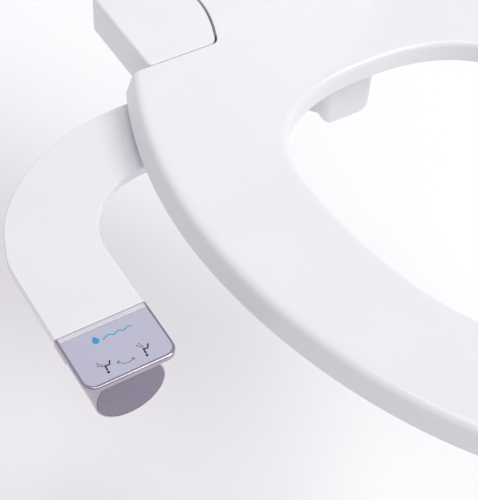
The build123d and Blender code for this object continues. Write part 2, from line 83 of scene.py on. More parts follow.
def round_edges(piece, width, segments, wanted, sharpness=30):
    """Bevel the sharp edges whose two ends both pass the test."""
    only(piece)
    bpy.ops.object.mode_set(mode="EDIT")
    bpy.ops.mesh.select_mode(type="EDGE")
    bpy.ops.mesh.select_all(action="DESELECT")
    bpy.ops.mesh.edges_select_sharp(sharpness=math.radians(sharpness))
    bpy.ops.object.mode_set(mode="OBJECT")
    mesh = piece.data
    for vertex in mesh.vertices:
        vertex.select = False
    for face in mesh.polygons:
        face.select = False
    for edge in mesh.edges:
        edge.select = edge.select and all(wanted(mesh.vertices[i].co) for i in edge.vertices)
    bpy.ops.object.mode_set(mode="EDIT")
    bpy.ops.mesh.bevel(offset=width, segments=segments, affect="EDGES", clamp_overlap=False)
    bpy.ops.object.mode_set(mode="OBJECT")


def block(name, low, high):
    """A cube primitive set to fill the space between two corners."""
    centre = (Vector(low) + Vector(high)) / 2
    bpy.ops.mesh.primitive_cube_add(size=1, location=centre)
    piece = bpy.context.object
    piece.name = name
    piece.data.name = name
    piece.scale = Vector(high) - Vector(low)
    bpy.ops.object.transform_apply(location=True, rotation=True, scale=True)
    return piece


def standing(name, plan, low_z, high_z):
    """An upright prism on a closed plan, given anticlockwise as seen from above."""
    bpy.ops.mesh.primitive_circle_add(vertices=len(plan), radius=1, fill_type="NGON")
    piece = bpy.context.object
    piece.name = name
    piece.data.name = name
    for vertex, (x, y) in zip(piece.data.vertices, plan):
        vertex.co = (x, y, low_z)
    bpy.ops.object.mode_set(mode="EDIT")
    bpy.ops.mesh.select_all(action="SELECT")
    rise = (0, 0, high_z - low_z)
    bpy.ops.mesh.extrude_region_move(TRANSFORM_OT_translate={"value": rise})
    bpy.ops.mesh.select_all(action="SELECT")
    bpy.ops.mesh.normals_make_consistent(inside=False)
    bpy.ops.object.mode_set(mode="OBJECT")
    return piece


def combine(piece, other, operation):
    """Cut one piece with another or join the two, after which the other is gone."""
    only(piece)
    change = piece.modifiers.new("combine", "BOOLEAN")
    change.operation = operation
    change.solver = "MANIFOLD"
    change.object = other
    bpy.ops.object.modifier_apply(modifier=change.name)
    bpy.data.objects.remove(other)


def bar(name, radius, start, end, vertices=48):
    """A round bar between two points that share two of their coordinates."""
    start, end = Vector(start), Vector(end)
    turn = (end - start).to_track_quat("Z", "Y").to_euler()
    bpy.ops.mesh.primitive_cylinder_add(
        vertices=vertices,
        radius=radius,
        depth=(end - start).length,
        location=(start + end) / 2,
        rotation=turn,
    )
    piece = bpy.context.object
    piece.name = name
    piece.data.name = name
    bpy.ops.object.transform_apply(location=True, rotation=True, scale=True)
    return piece


def upright_only(piece, width, segments, wanted):
    """Round the upright corner edges, which have both ends over one another."""
    only(piece)
    mesh = piece.data
    for part in (mesh.vertices, mesh.polygons):
        for item in part:
            item.select = False
    for edge in mesh.edges:
        a, b = (mesh.vertices[i].co for i in edge.vertices)
        edge.select = (a.xy - b.xy).length < 0.01 * mm and wanted(a)
    bpy.ops.object.mode_set(mode="EDIT")
    bpy.ops.mesh.select_mode(type="EDGE")
    bpy.ops.mesh.bevel(offset=width, segments=segments, affect="EDGES", clamp_overlap=False)
    bpy.ops.object.mode_set(mode="OBJECT")


def group_of(name, inputs, outputs):
    """An empty shader node group with its sockets, and the two nodes that carry them."""
    group = bpy.data.node_groups.new(name, "ShaderNodeTree")
    for label, kind, value in inputs:
        socket = group.interface.new_socket(name=label, in_out="INPUT", socket_type=kind)
        if value is not None:
            socket.default_value = value
    for label, kind in outputs:
        group.interface.new_socket(name=label, in_out="OUTPUT", socket_type=kind)
    return group, group.nodes.new("NodeGroupInput"), group.nodes.new("NodeGroupOutput")


# Cloud: a slow drift between two values, for uneven tone and gloss.
cloud, cloud_in, cloud_out = group_of(
    "cloud",
    [
        ("Vector", "NodeSocketVector", None),
        ("Scale", "NodeSocketFloat", 20.0),
        ("Low", "NodeSocketFloat", 0.0),
        ("High", "NodeSocketFloat", 1.0),
    ],
    [("Value", "NodeSocketFloat")],
)
cloud_noise = cloud.nodes.new("ShaderNodeTexNoise")
cloud_noise.inputs["Detail"].default_value = 3
cloud_range = cloud.nodes.new("ShaderNodeMapRange")
cloud_range.inputs["From Min"].default_value = 0.3
cloud_range.inputs["From Max"].default_value = 0.7
cloud.links.new(cloud_in.outputs["Vector"], cloud_noise.inputs["Vector"])
cloud.links.new(cloud_in.outputs["Scale"], cloud_noise.inputs["Scale"])
cloud.links.new(cloud_noise.outputs["Fac"], cloud_range.inputs["Value"])
cloud.links.new(cloud_in.outputs["Low"], cloud_range.inputs["To Min"])
cloud.links.new(cloud_in.outputs["High"], cloud_range.inputs["To Max"])
cloud.links.new(cloud_range.outputs["Result"], cloud_out.inputs["Value"])

# Peel: the orange-peel ripple and the finer grain that a mould leaves on plastic.
peel, peel_in, peel_out = group_of(
    "peel",
    [
        ("Vector", "NodeSocketVector", None),
        ("Ripple Scale", "NodeSocketFloat", 260.0),
        ("Grain Scale", "NodeSocketFloat", 2400.0),
        ("Grain", "NodeSocketFloat", 0.2),
    ],
    [("Height", "NodeSocketFloat")],
)
peel_ripple = peel.nodes.new("ShaderNodeTexNoise")
peel_ripple.inputs["Detail"].default_value = 1
peel_grain = peel.nodes.new("ShaderNodeTexNoise")
peel_grain.inputs["Detail"].default_value = 2
peel_mix = peel.nodes.new("ShaderNodeMix")
peel.links.new(peel_in.outputs["Vector"], peel_ripple.inputs["Vector"])
peel.links.new(peel_in.outputs["Vector"], peel_grain.inputs["Vector"])
peel.links.new(peel_in.outputs["Ripple Scale"], peel_ripple.inputs["Scale"])
peel.links.new(peel_in.outputs["Grain Scale"], peel_grain.inputs["Scale"])
peel.links.new(peel_in.outputs["Grain"], peel_mix.inputs["Factor"])
peel.links.new(peel_ripple.outputs["Fac"], peel_mix.inputs["A"])
peel.links.new(peel_grain.outputs["Fac"], peel_mix.inputs["B"])
peel.links.new(peel_mix.outputs["Result"], peel_out.inputs["Height"])


def bare_finish(name):
    """A material with its tree, its Principled shader and an Object coordinate to build on."""
    finish = bpy.data.materials.new(name)
    finish.use_nodes = True
    tree = finish.node_tree
    place = tree.nodes.new("ShaderNodeTexCoord").outputs["Object"]
    return finish, tree, tree.nodes["Principled BSDF"], place


def grouped(tree, group, place, **values):
    """A node group placed in a tree and fed with the coordinate and its own values."""
    node = tree.nodes.new("ShaderNodeGroup")
    node.node_tree = group
    tree.links.new(place, node.inputs["Vector"])
    for label, value in values.items():
        node.inputs[label.replace("_", " ")].default_value = value
    return node


def tone_between(tree, factor, dark, light):
    """A colour that drifts between two with the factor."""
    mix = tree.nodes.new("ShaderNodeMix")
    mix.data_type = "RGBA"
    mix.inputs["A"].default_value = (*dark, 1)
    mix.inputs["B"].default_value = (*light, 1)
    tree.links.new(factor, mix.inputs["Factor"])
    return mix.outputs["Result"]


def toned(tree, shader, factor, dark, light):
    """A base colour that drifts between two with the factor."""
    tree.links.new(tone_between(tree, factor, dark, light), shader.inputs["Base Color"])


def hazed(tree, shader, place, scale, low, high):
    """A roughness that drifts between two values."""
    haze = grouped(tree, cloud, place, Scale=scale, Low=low, High=high)
    tree.links.new(haze.outputs["Value"], shader.inputs["Roughness"])


def relief(tree, shader, height, depth):
    """A bump of the given depth in metres on the shader's normal."""
    bump = tree.nodes.new("ShaderNodeBump")
    bump.inputs["Distance"].default_value = depth
    bump.inputs["Strength"].default_value = 1.0
    tree.links.new(height, bump.inputs["Height"])
    tree.links.new(bump.outputs["Normal"], shader.inputs["Normal"])


def moulded(name, dark, light, gloss, grain, depth, cloud_scale=14):
    """Injection-moulded plastic: uneven tone and gloss over orange peel and fine grain."""
    finish, tree, shader, place = bare_finish(name)
    tone = grouped(tree, cloud, place, Scale=cloud_scale)
    toned(tree, shader, tone.outputs["Value"], dark, light)
    hazed(tree, shader, place, cloud_scale * 3.1, *gloss)
    skin = grouped(tree, peel, place, Grain=grain)
    relief(tree, shader, skin.outputs["Height"], depth)
    return finish


def dress(piece, finish, body, slot, *replaced, smooth=35):
    """Smooth the piece, give it its finish, and hang it on its body in place of the CAD nodes."""
    only(piece)
    bpy.ops.object.shade_smooth_by_angle(angle=math.radians(smooth))
    level = piece.modifiers.new("level", "WEIGHTED_NORMAL")
    level.keep_sharp = True
    bpy.ops.object.modifier_apply(modifier=level.name)
    piece.data.materials.clear()
    piece.data.materials.append(finish)
    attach(piece, body)
    if replaced:
        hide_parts(*replaced)


def refinish(finish, *names):
    """Give CAD nodes whose shape is right their real finish."""
    for name in names:
        for place in nodes[name].material_slots:
            place.material = finish


seat_low, seat_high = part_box("seat_shell")
ring_half, ring_front, ring_rear, ring_power = 191.4 * mm, 299.9 * mm, 277.0 * mm, 1.91
ring_centre_y = -169.8 * mm
opening_half, opening_front, opening_rear, opening_power = 108 * mm, 198.2 * mm, 82.5 * mm, 2.31
opening_centre_y = -173 * mm
quarter_steps = 44


def oval(grow, z, opening=False):
    """A loop at a height: the ring's outline, or the opening's, grown all round, all in mm."""
    half, front, rear, power, centre_y = (
        (opening_half, opening_front, opening_rear, opening_power, opening_centre_y)
        if opening
        else (ring_half, ring_front, ring_rear, ring_power, ring_centre_y)
    )
    loop = []
    for step in range(4 * quarter_steps):
        turn = math.pi / 2 * (step + 0.5) / quarter_steps
        over, along = math.cos(turn), math.sin(turn)
        depth = rear if along >= 0 else front
        x = math.copysign((half + grow * mm) * abs(over) ** (2 / power), over)
        y = centre_y + math.copysign((depth + grow * mm) * abs(along) ** (2 / power), along)
        loop.append((x, y, z * mm))
    return loop


def lofted(name, loops):
    """A surface through loops of as many points each: a circle primitive, extruded from loop to loop."""
    count = len(loops[0])
    bpy.ops.mesh.primitive_circle_add(vertices=count, radius=1, fill_type="NOTHING")
    piece = bpy.context.object
    piece.name = name
    piece.data.name = name
    for vertex, place in zip(piece.data.vertices, loops[0]):
        vertex.co = place
    for loop in loops[1:]:
        bpy.ops.object.mode_set(mode="EDIT")
        bpy.ops.mesh.extrude_region_move()
        bpy.ops.object.mode_set(mode="OBJECT")
        for vertex, place in zip(piece.data.vertices[-count:], loop):
            vertex.co = place
    return piece


def closed_up(piece):
    """Merge the seam of a loft that ends where it began, and turn its faces outwards."""
    only(piece)
    bpy.ops.object.mode_set(mode="EDIT")
    bpy.ops.mesh.select_all(action="SELECT")
    bpy.ops.mesh.remove_doubles(threshold=0.002 * mm)
    bpy.ops.mesh.normals_make_consistent(inside=False)
    bpy.ops.object.mode_set(mode="OBJECT")


housing_low, housing_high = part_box("hinge_housing_left")
hinge_y, hinge_z = 52 * mm, 20 * mm
nose_x, straight_y = -88.6 * mm, 29 * mm
nose_steps, nose_round, corner_steps = 16, 5 * mm, 7


def housing_outline(inset):
    """Plan of the left housing, drawn in by a wall's thickness for its hollow."""
    front, rear = housing_low.y + inset, housing_high.y - inset
    outside, inside = housing_low.x + inset, housing_high.x - inset
    start_x = nose_x - inset * 0.8
    nose = []
    for step in range(nose_steps + 1):
        share = step / nose_steps
        bulge = 1 - (1 - share) ** 1.75
        nose.append(Vector((start_x + (inside - start_x) * bulge, front + share * (straight_y - front))))
    nose = [spot for spot in nose if spot.y > front + nose_round]
    begin, turn = Vector((start_x - nose_round, front)), Vector((start_x, front))
    corner = []
    for step in range(corner_steps):
        share = step / corner_steps
        corner.append((1 - share) ** 2 * begin + 2 * share * (1 - share) * turn + share**2 * nose[0])
    plan = [(outside, rear), (outside, front)] + [tuple(spot) for spot in corner + nose]
    return plan + [(inside, rear)]


def cut_behind(piece, gap):
    """Clear a ring behind for the two housings and all that lies outside them."""
    for side in (1, -1):
        outline = [(side * x, y) for x, y in housing_outline(-gap)]
        room = standing("room", outline[::side], 0, 60 * mm)
        combine(piece, room, "DIFFERENCE")
        beyond = sorted((side * -300 * mm, side * -100 * mm))
        low = (beyond[0], housing_low.y - gap, -1 * mm)
        combine(piece, block("beyond", low, (beyond[1], 200 * mm, 61 * mm)), "DIFFERENCE")


rim = ((3.0, 16.0), (5.6, 16.0), (5.95, 16.3), (5.4, 17.7), (3.9, 22.0), (2.3, 26.5), (1.7, 28.2))
shoulder = ((1.1, 29.5), (0.3, 30.6), (-0.9, 31.6), (-2.4, 32.35), (-4.3, 32.8), (-6.8, 32.98), (-12, 33.0))
bull_nose = ((12, 33.0), (5.5, 32.97), (3.9, 32.75), (2.4, 32.25), (1.2, 31.4), (0.4, 30.3), (0.05, 29.0))
inside_wall = ((0.0, 26.0), (0.0, 21.0), (0.0, 16.4), (0.4, 16.0), (3.0, 16.0))
ring_loops = [oval(grow, z) for grow, z in rim + shoulder]
ring_loops += [oval(grow, z, opening=True) for grow, z in bull_nose + inside_wall]
ring = lofted("seat_ring", ring_loops + ring_loops[:1])
closed_up(ring)
wall_width = 3.0
cavity_loops = [oval(-wall_width, 30.0), oval(wall_width + 0.4, 15.0)]
cavity_loops += [oval(wall_width, 15.0, opening=True), oval(wall_width, 30.0, opening=True)]
cavity = lofted("cavity", cavity_loops + cavity_loops[:1])
closed_up(cavity)
seat_gap, tongue_rear_y, ear_x, knuckle_x = 1.6 * mm, 64 * mm, 73.5 * mm, 45.5 * mm
ear_r, bush_bore_r = 12 * mm, 6 * mm
cuts = ((ring, seat_gap, tongue_rear_y), (cavity, seat_gap + wall_width * mm, 32 * mm))
for solid, gap, rear_y in cuts:
    combine(solid, block("behind", (-0.3, rear_y, -1 * mm), (0.3, 0.4, 61 * mm)), "DIFFERENCE")
    cut_behind(solid, gap)
combine(ring, cavity, "DIFFERENCE")
combine(ring, block("knuckle_room", (-knuckle_x, 38 * mm, 0), (knuckle_x, 0.1, 60 * mm)), "DIFFERENCE")
for side in (-1, 1):
    ends = sorted((side * knuckle_x, side * ear_x))
    ear = bar("ear", ear_r, (ends[0], hinge_y, hinge_z), (ends[1], hinge_y, hinge_z), 64)
    combine(ring, ear, "UNION")
    start, end = (ends[0] - 1 * mm, hinge_y, hinge_z), (ends[1] + 1 * mm, hinge_y, hinge_z)
    combine(ring, bar("bore", bush_bore_r, start, end, 64), "DIFFERENCE")
white_gloss = moulded(
    "white_gloss_plastic", (0.77, 0.775, 0.785), (0.79, 0.795, 0.80), (0.10, 0.20), 0.12, 0.02 * mm
)
dress(ring, white_gloss, "seat", "seat_plastic", "seat_shell")
refinish(white_gloss, "seat_base")


# ---------------------------------------------------------------------------------------------
# Hinge housings: two glossy white covers beside the seat's tongue, moulded hollow. Each is square
# outside, curved where the ring wraps round it, and softly rounded along its upper edge.
# ---------------------------------------------------------------------------------------------
def mirrored(piece, name):
    """The same piece for the other side, with its own mesh."""
    twin = piece.copy()
    twin.data = piece.data.copy()
    twin.name = name
    twin.data.name = name
    bpy.context.scene.collection.objects.link(twin)
    twin.data.transform(Matrix.Scale(-1, 4, (1, 0, 0)))
    twin.data.flip_normals()
    return twin


housing = standing("housing_left", housing_outline(0), housing_low.z, housing_high.z)


def on_corner(point):
    left = point.x < housing_low.x + 0.1 * mm
    rear = point.y > housing_high.y - 0.1 * mm
    return left or rear


upright_only(housing, 3.2 * mm, 6, on_corner)
round_edges(housing, 1.5 * mm, 5, lambda point: point.z > housing_high.z - 0.05 * mm)
housing_wall = 2.5 * mm
hollow = standing("hollow", housing_outline(housing_wall), -1 * mm, housing_high.z - housing_wall)
combine(housing, hollow, "DIFFERENCE")
foot_room = block("foot_room", (-139 * mm, -25 * mm, -1 * mm), (-70 * mm, 66 * mm, 10.6 * mm))
combine(housing, foot_room, "DIFFERENCE")
shaft_room = bar("shaft_room", 4.3 * mm, (-90 * mm, hinge_y, hinge_z), (-70 * mm, hinge_y, hinge_z))
combine(housing, shaft_room, "DIFFERENCE")
housing_right = mirrored(housing, "housing_right")
dress(housing, white_gloss, "attachment", "housing_plastic", "hinge_housing_left")
dress(housing_right, white_gloss, "attachment", "housing_plastic", "hinge_housing_right")


# ---------------------------------------------------------------------------------------------
# Attachment body and arm: a thin ABS cover snapped and screwed over a flat floor plate, satin
# white. Its outer edge is rounded, and its bolt holes and nozzle window are lightly broken.
# ---------------------------------------------------------------------------------------------
cover_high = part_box("top_cover")[1]
bolt_x, bolt_hole_r = 70 * mm, 13 * mm
window_half = 21.6 * mm


def in_cover_hole(point):
    near_bolt = math.hypot(abs(point.x) - bolt_x, point.y) < bolt_hole_r + 0.2 * mm
    in_window = abs(point.x) < window_half + 0.2 * mm and point.y < -18 * mm
    return near_bolt or in_window


def on_cover_top(point):
    return point.z > cover_high.z - 0.05 * mm


cover = merged_copy("top_cover", "arm_cover")
round_edges(cover, 1.2 * mm, 5, lambda point: on_cover_top(point) and not in_cover_hole(point), 60)
round_edges(cover, 0.4 * mm, 2, lambda point: on_cover_top(point) and in_cover_hole(point), 60)
arm_satin = moulded(
    "satin_white_plastic", (0.765, 0.765, 0.79), (0.78, 0.78, 0.805), (0.24, 0.32), 0.06, 0.008 * mm, 22
)
dress(cover, arm_satin, "attachment", "arm_plastic", "top_cover")
refinish(arm_satin, "base_plate", "nozzle_cassette")


# ---------------------------------------------------------------------------------------------
# Panel frame: a die-cast cap over the end of the arm, plated in bright chrome. Its two front
# corners are rounded, its rim rolls over, and it is hollow under a pocket that holds the panel.
# ---------------------------------------------------------------------------------------------
def frame_block(name, low, high, corner):
    """A block whose two front upright edges are rounded."""
    piece = block(name, low, high)
    upright_only(piece, corner, 14, lambda point: point.y < low[1] + 0.05 * mm)
    return piece


bezel_low, bezel_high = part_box("panel_bezel")
corner_r, rim_width, side_width = 9 * mm, 2.6 * mm, 1.5 * mm
pocket_z, panel_rear_y = 5.4 * mm, bezel_high.y
bezel = frame_block("panel_frame", bezel_low, bezel_high, corner_r)
round_edges(bezel, 1.5 * mm, 6, lambda point: point.z > bezel_high.z - 0.05 * mm, 60)
hollow = frame_block(
    "hollow",
    (bezel_low.x + 2.2 * mm, bezel_low.y + 2.2 * mm, -1 * mm),
    (bezel_high.x - 2.2 * mm, panel_rear_y + 5 * mm, 4.4 * mm),
    7 * mm,
)
combine(bezel, hollow, "DIFFERENCE")
pocket = frame_block(
    "pocket",
    (bezel_low.x + side_width, bezel_low.y + rim_width, pocket_z),
    (bezel_high.x - side_width, panel_rear_y + 5 * mm, 9 * mm),
    7 * mm,
)
combine(bezel, pocket, "DIFFERENCE")
skirt_z, skirt_rear_y = 2.7 * mm, -205.5 * mm
front_room = block(
    "front_room",
    (bezel_low.x - 1 * mm, bezel_low.y - 1 * mm, -1 * mm),
    (bezel_high.x + 1 * mm, skirt_rear_y, skirt_z),
)
combine(bezel, front_room, "DIFFERENCE")


def on_skirt_edge(point):
    at_side = not bezel_low.x + 1 * mm < point.x < bezel_high.x - 1 * mm
    return abs(point.z - skirt_z) < 0.05 * mm and (point.y < bezel_low.y + 1.2 * mm or at_side)


round_edges(bezel, 0.9 * mm, 4, on_skirt_edge, 60)
chrome, chrome_tree, chrome_shader, chrome_place = bare_finish("bright_chrome")
chrome_shader.inputs["Metallic"].default_value = 1
hazed(chrome_tree, chrome_shader, chrome_place, 60, 0.05, 0.11)
chrome_tone = grouped(chrome_tree, cloud, chrome_place, Scale=35).outputs["Value"]
toned(chrome_tree, chrome_shader, chrome_tone, (0.41, 0.38, 0.45), (0.47, 0.44, 0.51))
chrome_skin = grouped(chrome_tree, peel, chrome_place, Ripple_Scale=120.0, Grain=0.05)
relief(chrome_tree, chrome_shader, chrome_skin.outputs["Height"], 0.006 * mm)
dress(bezel, chrome, "attachment", "chrome", "panel_bezel")


# ---------------------------------------------------------------------------------------------
# Panel face: a plate sprayed in lavender silver with fine metal flake, laid in the frame, with
# the symbols for rear and front wash, an arc with two arrow heads and a drop printed on it.
# ---------------------------------------------------------------------------------------------
face_low, face_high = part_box("panel_face")
plate_high = (face_high.x, face_high.y + 0.35 * mm, face_high.z)
plate = frame_block("panel_plate", face_low, plate_high, 6.9 * mm)
round_edges(plate, 0.25 * mm, 3, lambda point: point.z > face_high.z - 0.05 * mm, 60)

flake, flake_in, flake_out = group_of(
    "flake",
    [("Vector", "NodeSocketVector", None), ("Scale", "NodeSocketFloat", 4000.0)],
    [("Spark", "NodeSocketFloat")],
)
flake_cells = flake.nodes.new("ShaderNodeTexVoronoi")
flake_grey = flake.nodes.new("ShaderNodeRGBToBW")
flake.links.new(flake_in.outputs["Vector"], flake_cells.inputs["Vector"])
flake.links.new(flake_in.outputs["Scale"], flake_cells.inputs["Scale"])
flake.links.new(flake_cells.outputs["Color"], flake_grey.inputs["Color"])
flake.links.new(flake_grey.outputs["Val"], flake_out.inputs["Spark"])

silver, silver_tree, silver_shader, silver_place = bare_finish("lavender_silver")
silver_shader.inputs["Metallic"].default_value = 0.25
silver_shader.inputs["Coat Weight"].default_value = 0.3
silver_shader.inputs["Coat Roughness"].default_value = 0.12
silver_flake = grouped(silver_tree, flake, silver_place, Scale=5200.0).outputs["Spark"]
toned(silver_tree, silver_shader, silver_flake, (0.45, 0.455, 0.565), (0.53, 0.535, 0.64))
hazed(silver_tree, silver_shader, silver_place, 30, 0.3, 0.42)
relief(silver_tree, silver_shader, silver_flake, 0.004 * mm)
dress(plate, silver, "attachment", "panel_silver", "panel_face")

ink_height = 0.04 * mm


def inked(name, strokes, dots, centre):
    """Flat print of round-ended strokes ((width, points), ...) and dots ((radius, point), ...)."""
    art = bpy.data.curves.new(name, "CURVE")
    art.dimensions = "3D"
    art.bevel_depth = 1 * mm
    art.bevel_resolution = 3
    art.resolution_u = 8
    art.use_fill_caps = True
    for width, points in strokes:
        line = art.splines.new("POLY")
        line.points.add(len(points) - 1)
        for spot, (x, y) in zip(line.points, points):
            spot.co = (x * mm, y * mm, 0, 1)
            spot.radius = width / 2
    drawing = bpy.data.objects.new(name, art)
    bpy.context.scene.collection.objects.link(drawing)
    only(drawing)
    bpy.ops.object.convert(target="MESH")
    drawing = bpy.context.object
    for radius, (x, y) in dots:
        bpy.ops.mesh.primitive_uv_sphere_add(segments=20, ring_count=10, radius=radius * mm)
        dot = bpy.context.object
        dot.data.transform(Matrix.Translation((x * mm, y * mm, 0)))
        dot.select_set(True)
        drawing.select_set(True)
        bpy.context.view_layer.objects.active = drawing
        bpy.ops.object.join()
    height = max(vertex.co.z for vertex in drawing.data.vertices)
    drawing.data.transform(Matrix.Scale(ink_height / height, 4, (0, 0, 1)))
    drawing.data.transform(Matrix.Translation((centre[0] * mm, centre[1] * mm, face_high.z)))
    return drawing


def ended(points, width):
    """Dots that round off the two ends and the joints of a stroke."""
    return [(width / 2, point) for point in points]


torso = [(0, 0), (-0.2, -3.4)]
leg = [(0, 0), (2.7, -0.5), (4.1, 2.1)]
sitter_strokes = [(1.1, torso), (1.1, leg)]
sitter_dots = [(0.95, (-0.35, -5.2))] + ended(torso + leg, 1.1)
rear_spray = [(0.42, [(-3.0, 3.0), (-0.9, 0.6)]), (0.42, [(-3.7, 1.5), (-1.2, -0.3)])]
rear_drops = [(0.5, (-3.5, 3.6)), (0.45, (-4.3, 1.9))]
front_spray = [(0.42, [(-1.9, 3.7), (-0.1, 1.1)]), (0.42, [(-0.3, 4.1), (0.9, 1.0)])]
front_drops = [(0.5, (-2.4, 4.3)), (0.45, (-0.6, 4.9))]
arc_turns = [math.radians(angle) for angle in range(-152, -42, 10)]
arc_line = [(6.6 * math.cos(turn), 4.4 + 6.6 * math.sin(turn)) for turn in arc_turns]
left_tip, right_tip = arc_line[0], arc_line[-1]
arrow_strokes = [
    (0.5, [(left_tip[0] - 0.5, left_tip[1] - 1.5), left_tip, (left_tip[0] + 1.5, left_tip[1] + 0.3)]),
    (0.5, [(right_tip[0] - 1.4, right_tip[1] + 0.5), right_tip, (right_tip[0] + 0.3, right_tip[1] - 1.5)]),
]
wave_line = [(x, 0.75 * math.sin(x * 0.9)) for x in [4.5 + step * 0.5 for step in range(41)]]
drop_dots = [(2.3, (0, 0)), (1.9, (0, 0.9)), (1.4, (0, 1.8)), (0.85, (0, 2.6)), (0.4, (0, 3.3))]

black_ink = moulded("black_print", (0.012, 0.012, 0.016), (0.02, 0.02, 0.026), (0.35, 0.5), 0.5, 0.002 * mm)
blue_ink = moulded("blue_print", (0.02, 0.26, 0.52), (0.03, 0.31, 0.58), (0.3, 0.42), 0.5, 0.002 * mm)
rear_sitter = (sitter_strokes + rear_spray, sitter_dots + rear_drops)
front_sitter = (sitter_strokes + front_spray, sitter_dots + front_drops)
turn_arc = ([(0.4, arc_line)] + arrow_strokes, ended(arc_line, 0.4))
water = ([(0.75, wave_line)], drop_dots + ended(wave_line, 0.75))
prints = (
    ("symbol_rear_wash", *rear_sitter, (-286.2, -222.8), black_ink),
    ("symbol_front_wash", *front_sitter, (-259.8, -223.0), black_ink),
    ("symbol_turn_arc", *turn_arc, (-272.4, -225.2), black_ink),
    ("symbol_water", *water, (-282.6, -203.4), blue_ink),
)
for name, strokes, dots, centre, ink in prints:
    symbol = inked(name, strokes, dots, centre)
    only(symbol)
    bpy.ops.object.shade_smooth_by_angle(angle=math.radians(60))
    symbol.data.materials.clear()
    symbol.data.materials.append(ink)
    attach(symbol, "attachment")


# ---------------------------------------------------------------------------------------------
# Clear strip: a polished acrylic bar between the arm's end and the printed plate, which lets the
# silver of the frame show through and catches a line of light along its rounded edge.
# ---------------------------------------------------------------------------------------------
strip_low, strip_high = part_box("panel_strip")
joint_width = 0.35 * mm
strip = block("panel_strip_clear", strip_low, strip_high - Vector((0, joint_width, 0)))
round_edges(strip, 0.6 * mm, 4, lambda point: point.z > strip_high.z - 0.05 * mm, 60)
clear, clear_tree, clear_shader, clear_place = bare_finish("clear_acrylic")
clear_shader.inputs["Transmission Weight"].default_value = 0.25
clear_shader.inputs["IOR"].default_value = 1.49
clear_tone = grouped(clear_tree, cloud, clear_place, Scale=90).outputs["Value"]
toned(clear_tree, clear_shader, clear_tone, (0.80, 0.79, 0.86), (0.88, 0.87, 0.92))
hazed(clear_tree, clear_shader, clear_place, 150, 0.04, 0.1)
dress(strip, clear, "attachment", "clear_strip", "panel_strip")


# ---------------------------------------------------------------------------------------------
# Dial: a hollow plated knob under the panel frame, turned on the valve's stem, with a disc of
# mauve-grey anodised aluminium set in its front. The disc keeps fine circular brushing.
# ---------------------------------------------------------------------------------------------
def turned(name, outline, centre, axis="Y", steps=96):
    """A closed outline of (radius, place along the axis) in mm, spun round the axis."""
    bpy.ops.mesh.primitive_circle_add(vertices=len(outline), radius=1, fill_type="NOTHING")
    piece = bpy.context.object
    piece.name = name
    piece.data.name = name
    for vertex, (radius, along) in zip(piece.data.vertices, outline):
        if axis == "Y":
            vertex.co = (centre[0] + radius * mm, along * mm, centre[2])
        else:
            vertex.co = (centre[0] + radius * mm, centre[1], along * mm)
    line = (0, 1, 0) if axis == "Y" else (0, 0, 1)
    bpy.ops.object.mode_set(mode="EDIT")
    bpy.ops.mesh.select_all(action="SELECT")
    bpy.ops.mesh.spin(steps=steps, angle=2 * math.pi, center=centre, axis=line)
    bpy.ops.mesh.select_all(action="SELECT")
    bpy.ops.mesh.remove_doubles(threshold=0.002 * mm)
    bpy.ops.mesh.dissolve_degenerate(threshold=0.001 * mm)
    bpy.ops.mesh.select_all(action="SELECT")
    bpy.ops.mesh.normals_make_consistent(inside=False)
    bpy.ops.object.mode_set(mode="OBJECT")
    return piece


dial_low, dial_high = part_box("dial_knob")
dial_centre = ((dial_low.x + dial_high.x) / 2, 0, (dial_low.z + dial_high.z) / 2)
knob_outline = [
    (23.75, -228.55),
    (23.95, -228.7),
    (24.35, -228.7),
    (24.75, -228.5),
    (24.95, -228.15),
    (25.0, -227.7),
    (25.0, -207.6),
    (24.8, -207.2),
    (24.4, -207.0),
    (22.5, -207.0),
    (22.5, -224.6),
    (22.1, -225.0),
    (8.4, -225.0),
    (8.0, -224.6),
    (8.0, -207.0),
    (4.02, -207.0),
    (4.02, -222.0),
    (0.0, -222.0),
    (0.0, -227.15),
    (23.75, -227.15),
]
knob = turned("dial_knob_plated", knob_outline, dial_centre)
dress(knob, chrome, "dial", "dial_chrome", "dial_knob")

face_outline = [
    (0, -229),
    (21.5, -228.95),
    (23.1, -228.8),
    (23.6, -228.5),
    (23.7, -228.1),
    (23.7, -227.2),
    (0, -227.2),
]
disc = turned("dial_disc_brushed", face_outline, dial_centre)

turning, turning_in, turning_out = group_of(
    "turning",
    [
        ("Vector", "NodeSocketVector", None),
        ("Ring Scale", "NodeSocketFloat", 900.0),
        ("Waver", "NodeSocketFloat", 2.0),
    ],
    [("Mark", "NodeSocketFloat")],
)
turning_rings = turning.nodes.new("ShaderNodeTexWave")
turning_rings.wave_type = "RINGS"
turning_rings.rings_direction = "Y"
turning_rings.inputs["Detail"].default_value = 4
turning_rings.inputs["Detail Scale"].default_value = 3
turning.links.new(turning_in.outputs["Vector"], turning_rings.inputs["Vector"])
turning.links.new(turning_in.outputs["Ring Scale"], turning_rings.inputs["Scale"])
turning.links.new(turning_in.outputs["Waver"], turning_rings.inputs["Distortion"])
turning.links.new(turning_rings.outputs["Fac"], turning_out.inputs["Mark"])


def centred(tree, place, centre, stretch=(1, 1, 1)):
    """The Object coordinate measured from a point, stretched along the axes."""
    shift = tree.nodes.new("ShaderNodeMapping")
    shift.vector_type = "TEXTURE"
    shift.inputs["Location"].default_value = centre
    shift.inputs["Scale"].default_value = stretch
    tree.links.new(place, shift.inputs["Vector"])
    return shift.outputs["Vector"]


